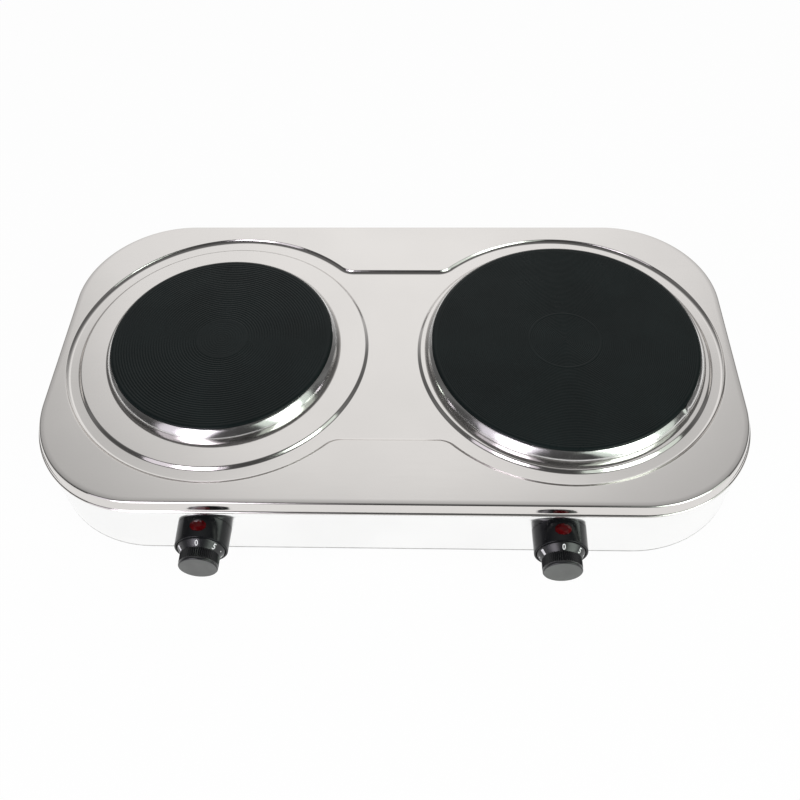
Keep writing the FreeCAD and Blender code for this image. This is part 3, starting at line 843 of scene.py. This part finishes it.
def control_centre(side):
    """Point on the axis of a control in the plane of its housing's front edge."""
    point = middle(shell_box[side])
    return Vector((point.x, shell_box[side][0].y, point.z))


def housing_profile(controls, box):
    """Section of a control housing: radius, and reach to the front of its front edge."""
    depth = box[1].y - box[0].y
    back = half_width(box)
    chamfer = 0.3 * mm
    front = back - 0.3 * mm
    rounding = 0.6 * mm
    sag = 0.18 * mm
    margin = 0.3 * mm
    bore = controls.bore
    bore_edge = 0.2 * mm
    web = 2 * mm - depth
    return np.concatenate([
        [(0, -depth), (back - chamfer, -depth), (back, chamfer - depth)],
        run((back, chamfer + margin - depth), (front, -rounding - margin), 8),
        arc((front, -rounding), (front - sag, -sag), (front - rounding, 0), 6),
        [(bore + bore_edge, 0), (bore, -bore_edge), (bore, web), (0, web)],
    ])


class HOTPLATE_OT_housings(bpy.types.Operator):
    """Mould the two round control housings"""

    bl_idname = "hotplate.housings"
    bl_label = "Control Housings"

    def execute(self, context):
        controls = context.scene.hot_plate_controls
        for side in sides:
            profile = housing_profile(controls, shell_box[side])
            grid = faced(profile[:, :1], profile[:, 1:], full_turn(160), control_centre(side))
            add_piece("housing_shell_" + side, [grid], "base", "housing_plastic", ["control_housing_" + side])
        return {"FINISHED"}


def lens_grid(box):
    """Faceted lens: a level oval with as many corners as facets, scaled from one height to the next."""
    facets = 10
    low, high = box
    centre = middle(box)
    seat = high.z - 1 * mm
    section = np.array((
        (0, high.z),
        (0.5, high.z),
        (0.56, high.z - 0.08 * mm),
        (0.94, seat + 0.12 * mm),
        (1, seat),
        (1, low.z),
        (0, low.z),
    ))
    scale, height = section.T[:, :, None]
    sweep = full_turn(facets) + math.pi / facets
    across = half_width(box) / math.cos(math.pi / facets)
    along = (high.y - low.y) / 2
    x = centre.x + across * scale * np.cos(sweep)
    y = centre.y + along * scale * np.sin(sweep)
    return np.stack([x, y, np.broadcast_to(height, x.shape)], axis=2)


class HOTPLATE_OT_lenses(bpy.types.Operator):
    """Cut the two faceted red lenses"""

    bl_idname = "hotplate.lenses"
    bl_label = "Lamp Lenses"

    def execute(self, context):
        for side in sides:
            grid = lens_grid(lens_box[side])
            add_piece("faceted_lens_" + side, [grid], "base", "lens_red", ["lamp_lens_" + side], crease=5)
        return {"FINISHED"}


def dial_slope(controls):
    """Ends of the dial cone's straight side, at the housing and at the grip: radius and reach."""
    root = controls.grip - controls.rib_depth
    foot = (controls.skirt - 0.25 * mm, 0.3 * mm)
    neck = (root + 0.05 * mm, controls.cone_length - 0.1 * mm)
    return foot, neck


def knob_profile(controls, back, front):
    """Section of a knob at the root of its ribs: radius and reach to the front, and which points are ribbed.

    Bore, back, dial cone, ribbed band, and a front with a rounded edge. Points a short step beside an edge
    keep the shading of the flat stretches even.
    """
    bore = 3.02 * mm
    front_wall = 5 * mm
    rounding = 0.9 * mm
    sag = 0.26 * mm
    margin = 0.5 * mm
    skirt = controls.skirt
    cone = controls.cone_length
    band = cone + controls.grip_length
    root = controls.grip - controls.rib_depth
    edge = controls.grip - 0.1 * mm
    ribs = [
        (root, cone + 0.15 * mm),
        *run((root, cone + margin), (root, band - margin), 4),
        (root, band - 0.1 * mm),
    ]
    stretches = [
        [(0, front - front_wall), (bore, front - front_wall), (bore, back), (skirt, back)],
        [(skirt, -0.2 * mm), (skirt - 0.12 * mm, 0.1 * mm)],
        run(*dial_slope(controls), 6),
        [(root, cone)],
        ribs,
        [(edge - 0.1 * mm, band + 0.25 * mm), (edge, band + 0.45 * mm)],
        arc((edge, front - rounding), (edge - sag, front - sag), (edge - rounding, front), 8),
        run((edge - rounding - 0.3 * mm, front), (0, front), 4),
    ]
    ribbed = np.concatenate([np.full(len(stretch), stretch is ribs) for stretch in stretches])
    return np.concatenate(stretches), ribbed


class HOTPLATE_OT_knobs(bpy.types.Operator):
    """Mould the two ribbed knobs with their dial cones"""

    bl_idname = "hotplate.knobs"
    bl_label = "Knobs"

    def execute(self, context):
        controls = context.scene.hot_plate_controls
        turn = full_turn(controls.ribs * 8)
        wave = np.abs(2 * np.mod(turn * controls.ribs / (2 * math.pi), 1) - 1)
        tolerance = 0.02 * mm
        for side in sides:
            low, high = knob_box[side]
            centre = control_centre(side)
            profile, ribbed = knob_profile(controls, centre.y - high.y, centre.y - low.y)
            radius = profile[:, :1] + controls.rib_depth * ribbed[:, None] * wave
            grid = faced(radius, profile[:, 1:], turn, centre)
            nodes = ["control_knob_" + side]
            piece = add_piece("ribbed_knob_" + side, [grid], "knob_" + side, "knob_plastic", nodes, crease=30)
            piece.data.materials.append(finish_for("knob_face"))
            middles = np.empty(len(piece.data.polygons) * 3)
            piece.data.polygons.foreach_get("center", middles)
            on_face = middles.reshape(-1, 3)[:, 1] < low.y + tolerance
            piece.data.polygons.foreach_set("material_index", on_face.astype(np.int32))
        return {"FINISHED"}


def digit_mesh(digit):
    """Flat solid digit from the built-in font, as points about its middle in its own unit box and faces."""
    curve = bpy.data.curves.new("digit_" + digit, "FONT")
    curve.body = digit
    curve.extrude = 0.02
    curve.offset = 0.012
    curve.resolution_u = 4
    holder = bpy.data.objects.new("digit_" + digit, curve)
    bpy.context.scene.collection.objects.link(holder)
    mesh = bpy.data.meshes.new_from_object(holder.evaluated_get(bpy.context.evaluated_depsgraph_get()))
    points = np.empty(len(mesh.vertices) * 3)
    mesh.vertices.foreach_get("co", points)
    points = points.reshape(-1, 3)
    faces = [tuple(face.vertices) for face in mesh.polygons]
    low = points.min(axis=0)
    high = points.max(axis=0)
    bpy.data.objects.remove(holder)
    bpy.data.curves.remove(curve)
    bpy.data.meshes.remove(mesh)
    return (points - (low + high) / 2) / (high - low), faces


def dot_mesh():
    """Flat round dot as two rings of points in its own unit box and its faces."""
    count = 16
    turn = full_turn(count)
    ring = np.stack([np.cos(turn) / 2, np.sin(turn) / 2, np.full(count, 0.5)], axis=1)
    points = np.concatenate([ring, ring * (1, 1, -1)])
    order = list(range(count))
    sides_of_dot = [(i, (i + 1) % count, (i + 1) % count + count, i + count) for i in order]
    return points, [tuple(order), tuple(i + count for i in reversed(order))] + sides_of_dot


def wrap_on_dial(points, size, turn, centre, controls):
    """Lay flat points on the dial cone.

    The first number goes round the cone by arc length, the second up its slope to the housing and the
    third out of its surface.
    """
    lift = 0.06 * mm
    foot, neck = np.array(dial_slope(controls))
    up = (foot - neck) / np.linalg.norm(foot - neck)
    out = np.array((-up[1], up[0]))
    flat = points * size
    proud = flat[:, 2] + lift
    radius, reach = ((foot + neck) / 2)[:, None] + np.outer(up, flat[:, 1]) + np.outer(out, proud)
    around = turn + flat[:, 0] / radius.mean()
    x = centre.x + radius * np.sin(around)
    z = centre.z + radius * np.cos(around)
    return np.stack([x, centre.y - reach, z], axis=1)


class HOTPLATE_OT_dials(bpy.types.Operator):
    """Print the digits and the dots on the two dial cones"""

    bl_idname = "hotplate.dials"
    bl_label = "Dial Printing"

    def execute(self, context):
        controls = context.scene.hot_plate_controls
        step = controls.digit_step
        dot = 0.9 * mm
        ink = 0.1 * mm
        digit_size = np.array((controls.digit_width, controls.digit_height, ink))
        dot_size = np.array((dot, dot, ink))
        marks = [(digit_mesh(str(number)), digit_size, -number * step) for number in range(6)]
        marks += [(dot_mesh(), dot_size, -(number + 0.5) * step) for number in range(1, 5)]
        for side in sides:
            points = []
            faces = []
            start = 0
            for (flat, cells_of_mark), size, turn in marks:
                points.append(wrap_on_dial(flat, size, turn, control_centre(side), controls))
                faces += [tuple(corner + start for corner in cell) for cell in cells_of_mark]
                start += len(flat)
            mesh = bpy.data.meshes.new("dial_print_" + side)
            mesh.from_pydata(np.concatenate(points).tolist(), [], faces)
            place_mesh("dial_print_" + side, mesh, finish_for("print"), "knob_" + side, [])
        return {"FINISHED"}


class HOTPLATE_OT_finishes(bpy.types.Operator):
    """Give every remaining node the finish of its slot"""

    bl_idname = "hotplate.finishes"
    bl_label = "Finishes"

    def execute(self, context):
        slots = {part["node"]: part["material_slot"] for part in frame["record"]["subparts"]}
        for name, node in frame["nodes"].items():
            for place in node.material_slots:
                place.material = finish_for(slots[name])
        return {"FINISHED"}


# Stage

def stage_floor(colours):
    """Wide level floor: white to the camera and to mirrors, with the shadow left in."""
    half = 4.0
    whiteness = 0.97
    corners = [(-half, -half, 0), (half, -half, 0), (half, half, 0), (-half, half, 0)]
    mesh = bpy.data.meshes.new("studio_floor")
    mesh.from_pydata(corners, [], [(0, 1, 2, 3)])
    material = bpy.data.materials.new("studio_floor_white")
    tree = clear_tree(material)
    rays = add_node(tree, "LightPath").outputs
    either = add_node(tree, "Math", {0: rays["Is Camera Ray"], 1: rays["Is Glossy Ray"]}, "MAXIMUM")
    share = add_node(tree, "Math", {0: either.outputs["Value"], 1: whiteness}, "MULTIPLY")
    paint = add_node(tree, "BsdfDiffuse", {"Color": (*colours.floor, 1)}).outputs["BSDF"]
    glow = add_node(tree, "Emission").outputs["Emission"]
    mix = add_node(tree, "MixShader", {"Fac": share.outputs["Value"], 1: paint, 2: glow})
    add_node(tree, "OutputMaterial", {"Surface": mix.outputs["Shader"]})
    mesh.materials.append(material)
    floor = bpy.data.objects.new("studio_floor", mesh)
    bpy.context.scene.collection.objects.link(floor)


def stage_room():
    """Room light: white to the camera, and for the object a bright back and a dim front.

    The level is set by stops of the angle from an axis to the upper back, in degrees. What lies lower than a
    set height counts as if it were as high.
    """
    axis = Vector((-0.03, 0.77, 0.64))
    least_height = 0.4
    stops = (
        (0, 1.08), (18, 0.96), (23, 0.72), (27, 0.6), (36, 0.38), (45, 0.18),
        (60, 0.13), (69, 0.2), (78, 0.1), (100, 0.06), (180, 0.08),
    )
    world = bpy.data.worlds.new("studio_room")
    bpy.context.scene.world = world
    tree = clear_tree(world)
    place = add_node(tree, "TexCoord").outputs["Generated"]
    lifted = add_node(tree, "VectorMath", {0: place, 1: (-1, -1, least_height)}, "MAXIMUM")
    along = add_node(tree, "VectorMath", {0: lifted.outputs["Vector"], 1: axis}, "DOT_PRODUCT")
    spread = add_node(tree, "MapRange", {"Value": along.outputs["Value"], "From Min": -1})
    ramp = add_node(tree, "ValToRGB", {"Fac": spread.outputs["Result"]})
    elements = ramp.color_ramp.elements
    for degrees, _ in stops[1:-1]:
        elements.new((1 + math.cos(math.radians(degrees))) / 2)
    for element, (_, level) in zip(elements, reversed(stops)):
        element.color = (level, level, level, 1)
    seen = add_node(tree, "LightPath").outputs["Is Camera Ray"]
    room = add_node(tree, "Background", {"Color": ramp.outputs["Color"]}).outputs["Background"]
    white = add_node(tree, "Background", {"Color": (1, 1, 1, 1)}).outputs["Background"]
    mix = add_node(tree, "MixShader", {"Fac": seen, 1: room, 2: white})
    add_node(tree, "OutputWorld", {"Surface": mix.outputs["Shader"]})


def direction(bearing, rise):
    """Direction at a bearing to the right of the front and at an angle over the level."""
    level = math.cos(rise)
    return Vector((math.sin(bearing) * level, -math.cos(bearing) * level, math.sin(rise)))


def soft_box(name, bearing, distance, width, height, shade, power):
    """Rectangular lamp that looks down at the object from a bearing in degrees to the right of the front."""
    rise = 26
    lamp = bpy.data.lights.new(name, "AREA")
    lamp.shape = "RECTANGLE"
    lamp.size = width
    lamp.size_y = height
    lamp.color = shade
    lamp.energy = power
    holder = bpy.data.objects.new(name, lamp)
    toward = direction(math.radians(bearing), math.radians(rise))
    facing = toward.to_track_quat("Z", "Y").to_matrix().to_4x4()
    holder.matrix_world = Matrix.Translation(toward * distance) @ facing
    bpy.context.scene.collection.objects.link(holder)


def stage_camera(stage, rim):
    """Camera on a sphere about its target, tilted about its own view."""
    target = Vector((stage.target_x, stage.target_y, rim))
    back = direction(stage.turn, stage.height)
    right = Vector((0, 0, 1)).cross(back).normalized()
    up = back.cross(right)
    tilt_right = right * math.cos(stage.roll) + up * math.sin(stage.roll)
    tilt_up = up * math.cos(stage.roll) - right * math.sin(stage.roll)
    pose = Matrix((tilt_right, tilt_up, back)).transposed().to_4x4()
    pose.translation = target + back * stage.distance
    data = bpy.data.cameras.new("photo_camera")
    data.sensor_width = 36
    data.lens = stage.lens
    data.clip_start = 0.01
    camera = bpy.data.objects.new("photo_camera", data)
    camera.matrix_world = pose
    bpy.context.scene.collection.objects.link(camera)
    bpy.context.scene.camera = camera


class HOTPLATE_OT_stage(bpy.types.Operator):
    """Set the floor, the soft light and the camera"""

    bl_idname = "hotplate.stage"
    bl_label = "Stage"

    def execute(self, context):
        scene = context.scene
        stage = scene.hot_plate_stage
        stage_floor(scene.hot_plate_colours)
        stage_room()
        violet = (0.96, 0.91, 1)
        green = (0.9, 1, 0.92)
        soft_box("left_soft_box", -29, 1.28, 0.45, 1, violet, stage.left_lamp)
        soft_box("left_wide_box", -35, 1.3, 0.97, 1.1, violet, stage.left_lamp / 2)
        soft_box("right_soft_box", 52, 1.28, 0.58, 1, green, stage.right_lamp)
        soft_box("right_wide_box", 54, 1.3, 1.2, 1.1, green, stage.right_lamp / 2)
        stage_camera(stage, scene.hot_plate_cover.rim)
        scene.view_settings.view_transform = "Standard"
        return {"FINISHED"}


class HOTPLATE_PT_panel(bpy.types.Panel):
    """Sizes, colours and steps of the hot plate"""

    bl_idname = "HOTPLATE_PT_panel"
    bl_label = "Hot Plate"
    bl_space_type = "VIEW_3D"
    bl_region_type = "UI"
    bl_category = "Hot Plate"

    def draw(self, context):
        scene = context.scene
        for name in setting_groups:
            box = self.layout.box()
            group = getattr(scene, name)
            for field in group.__annotations__:
                box.prop(group, field)
        for step in steps:
            self.layout.operator(step.bl_idname)


setting_groups = {
    "hot_plate_cover": HotPlateCover,
    "hot_plate_burners": HotPlateBurners,
    "hot_plate_controls": HotPlateControls,
    "hot_plate_colours": HotPlateColours,
    "hot_plate_stage": HotPlateStage,
}
steps = (
    HOTPLATE_OT_cover,
    HOTPLATE_OT_wall,
    HOTPLATE_OT_plates,
    HOTPLATE_OT_rings,
    HOTPLATE_OT_housings,
    HOTPLATE_OT_lenses,
    HOTPLATE_OT_knobs,
    HOTPLATE_OT_dials,
    HOTPLATE_OT_finishes,
    HOTPLATE_OT_stage,
)


def register():
    """Add the settings, the steps and the panel to Blender."""
    for kind in (*setting_groups.values(), *steps, HOTPLATE_PT_panel):
        bpy.utils.register_class(kind)
    for name, group in setting_groups.items():
        setattr(bpy.types.Scene, name, bpy.props.PointerProperty(type=group))


def unregister():
    """Take them out again."""
    for name in setting_groups:
        delattr(bpy.types.Scene, name)
    for kind in reversed((*setting_groups.values(), *steps, HOTPLATE_PT_panel)):
        bpy.utils.unregister_class(kind)


def main():
    """Run every step in order."""
    register()
    bpy.ops.hotplate.cover()
    bpy.ops.hotplate.wall()
    bpy.ops.hotplate.plates()
    bpy.ops.hotplate.rings()
    bpy.ops.hotplate.housings()
    bpy.ops.hotplate.lenses()
    bpy.ops.hotplate.knobs()
    bpy.ops.hotplate.dials()
    bpy.ops.hotplate.finishes()
    bpy.ops.hotplate.stage()


if __name__ == "__main__":
    main()
